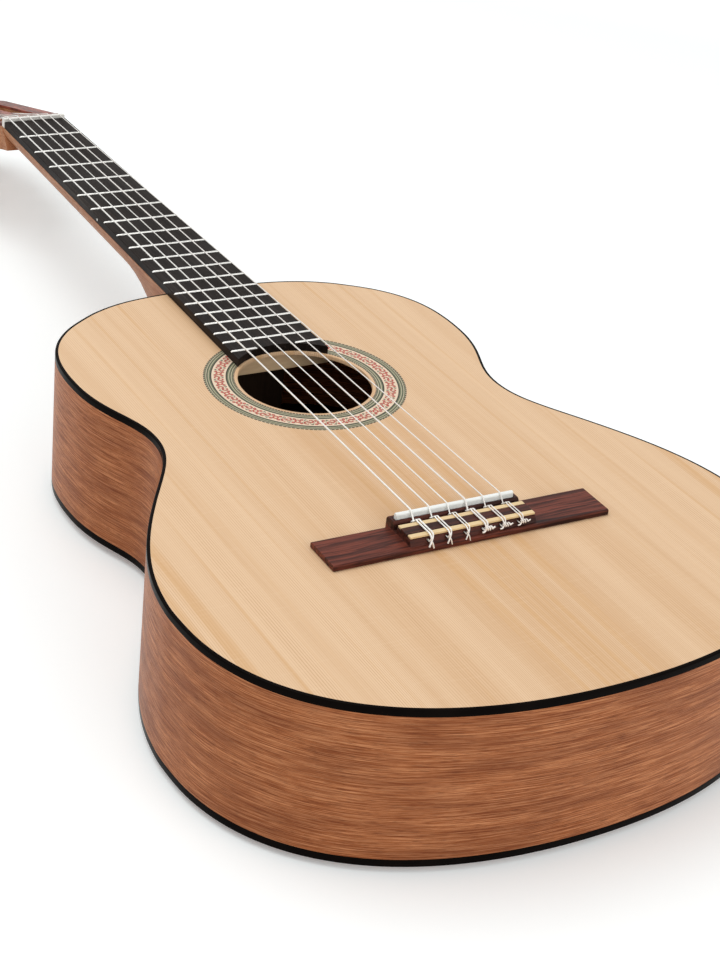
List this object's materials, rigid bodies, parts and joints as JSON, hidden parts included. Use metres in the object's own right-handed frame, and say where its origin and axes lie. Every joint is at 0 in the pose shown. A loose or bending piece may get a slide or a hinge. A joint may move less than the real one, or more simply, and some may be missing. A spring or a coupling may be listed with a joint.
{
  "type": "classical guitar",
  "caption": "Classical guitar with a slotted head, worm-geared tuning machines, soundhole rosette and tie bridge, lying on its back.",
  "frame": {"origin": "on the floor under the flat middle of the back, halfway along the overall length, on the centre line", "axes": "+Y from the tail to the head, +Z from the back to the soundboard, +X to the treble side"},
  "size_m": [0.367, 1.0044, 0.1129],
  "materials": {
    "soundboard_spruce": "pale honey spruce, straight grain, satin lacquer",
    "brace_spruce": "bare spruce",
    "mahogany": "reddish brown open-pored wood, satin lacquer",
    "neck_wood": "light reddish brown, satin",
    "block_wood": "bare pale wood",
    "black_binding": "glossy black",
    "board_wood": "near black, with nickel silver frets",
    "rosewood": "dark red brown, satin",
    "bone": "off-white, polished",
    "marquetry": "cream, red and green inlaid mosaic",
    "nickel": "nickel plated",
    "gear_brass": "satin",
    "roller_plastic": "off-white",
    "button_pearl": "pearly off-white",
    "nylon": "clear nylon",
    "wound_string": "silvered copper winding"
  },
  "bodies": {
    "root": {"soundboard": "soundboard_spruce", "rosette": "marquetry", "back_panel": "mahogany", "rib_bass": "mahogany", "rib_treble": "mahogany", "top_binding": "black_binding", "back_binding": "black_binding", "neck_block": "block_wood", "tail_block": "block_wood", "upper_cross_bar": "brace_spruce", "lower_cross_bar": "brace_spruce", "fan_brace_1": "brace_spruce", "fan_brace_2": "brace_spruce", "fan_brace_3": "brace_spruce", "fan_brace_4": "brace_spruce", "fan_brace_5": "brace_spruce", "back_brace_1": "brace_spruce", "back_brace_2": "brace_spruce", "back_brace_3": "brace_spruce", "neck": "neck_wood", "heel_cap": "black_binding", "headplate": "rosewood", "fingerboard": "board_wood", "nut": "bone", "bridge": "rosewood", "saddle": "bone", "tie_inlay_front": "bone", "tie_inlay_rear": "bone", "tuner_plate_bass": "nickel", "tuner_plate_treble": "nickel", "string_1": "nylon", "string_2": "nylon", "string_3": "nylon", "string_4": "wound_string", "string_5": "wound_string", "string_6": "wound_string"},
    "tuner_worm_1": {"worm_1": "nickel", "button_1": "button_pearl"},
    "tuner_post_1": {"roller_1": "roller_plastic", "gear_1": "gear_brass"},
    "tuner_worm_2": {"worm_2": "nickel", "button_2": "button_pearl"},
    "tuner_post_2": {"roller_2": "roller_plastic", "gear_2": "gear_brass"},
    "tuner_worm_3": {"worm_3": "nickel", "button_3": "button_pearl"},
    "tuner_post_3": {"roller_3": "roller_plastic", "gear_3": "gear_brass"},
    "tuner_worm_4": {"worm_4": "nickel", "button_4": "button_pearl"},
    "tuner_post_4": {"roller_4": "roller_plastic", "gear_4": "gear_brass"},
    "tuner_worm_5": {"worm_5": "nickel", "button_5": "button_pearl"},
    "tuner_post_5": {"roller_5": "roller_plastic", "gear_5": "gear_brass"},
    "tuner_worm_6": {"worm_6": "nickel", "button_6": "button_pearl"},
    "tuner_post_6": {"roller_6": "roller_plastic", "gear_6": "gear_brass"}
  },
  "joints": [
    {"name": "turn_button_1", "type": "hinge", "parent": "root", "child": "tuner_worm_1", "pos_m": [0.041, 0.36028, 0.07867], "axis": [0, 0.2419, 0.9703], "continuous": true},
    {"name": "turn_post_1", "type": "hinge", "parent": "root", "child": "tuner_post_1", "pos_m": [0.041, 0.36824, 0.07669], "axis": [1, 0, 0], "continuous": true},
    {"name": "turn_button_2", "type": "hinge", "parent": "root", "child": "tuner_worm_2", "pos_m": [0.041, 0.39424, 0.0702], "axis": [0, 0.2419, 0.9703], "continuous": true},
    {"name": "turn_post_2", "type": "hinge", "parent": "root", "child": "tuner_post_2", "pos_m": [0.041, 0.4022, 0.06822], "axis": [1, 0, 0], "continuous": true},
    {"name": "turn_button_3", "type": "hinge", "parent": "root", "child": "tuner_worm_3", "pos_m": [0.041, 0.4282, 0.06173], "axis": [0, 0.2419, 0.9703], "continuous": true},
    {"name": "turn_post_3", "type": "hinge", "parent": "root", "child": "tuner_post_3", "pos_m": [0.041, 0.43616, 0.05975], "axis": [1, 0, 0], "continuous": true},
    {"name": "turn_button_4", "type": "hinge", "parent": "root", "child": "tuner_worm_4", "pos_m": [-0.041, 0.4282, 0.06173], "axis": [0, 0.2419, 0.9703], "continuous": true},
    {"name": "turn_post_4", "type": "hinge", "parent": "root", "child": "tuner_post_4", "pos_m": [-0.041, 0.43616, 0.05975], "axis": [1, 0, 0], "continuous": true},
    {"name": "turn_button_5", "type": "hinge", "parent": "root", "child": "tuner_worm_5", "pos_m": [-0.041, 0.39424, 0.0702], "axis": [0, 0.2419, 0.9703], "continuous": true},
    {"name": "turn_post_5", "type": "hinge", "parent": "root", "child": "tuner_post_5", "pos_m": [-0.041, 0.4022, 0.06822], "axis": [1, 0, 0], "continuous": true},
    {"name": "turn_button_6", "type": "hinge", "parent": "root", "child": "tuner_worm_6", "pos_m": [-0.041, 0.36028, 0.07867], "axis": [0, 0.2419, 0.9703], "continuous": true},
    {"name": "turn_post_6", "type": "hinge", "parent": "root", "child": "tuner_post_6", "pos_m": [-0.041, 0.36824, 0.07669], "axis": [1, 0, 0], "continuous": true}
  ],
  "couplings": [
    {"joint": "turn_post_1", "follows": "turn_button_1", "ratio": 0.071429},
    {"joint": "turn_post_2", "follows": "turn_button_2", "ratio": 0.071429},
    {"joint": "turn_post_3", "follows": "turn_button_3", "ratio": 0.071429},
    {"joint": "turn_post_4", "follows": "turn_button_4", "ratio": 0.071429},
    {"joint": "turn_post_5", "follows": "turn_button_5", "ratio": 0.071429},
    {"joint": "turn_post_6", "follows": "turn_button_6", "ratio": 0.071429}
  ]
}
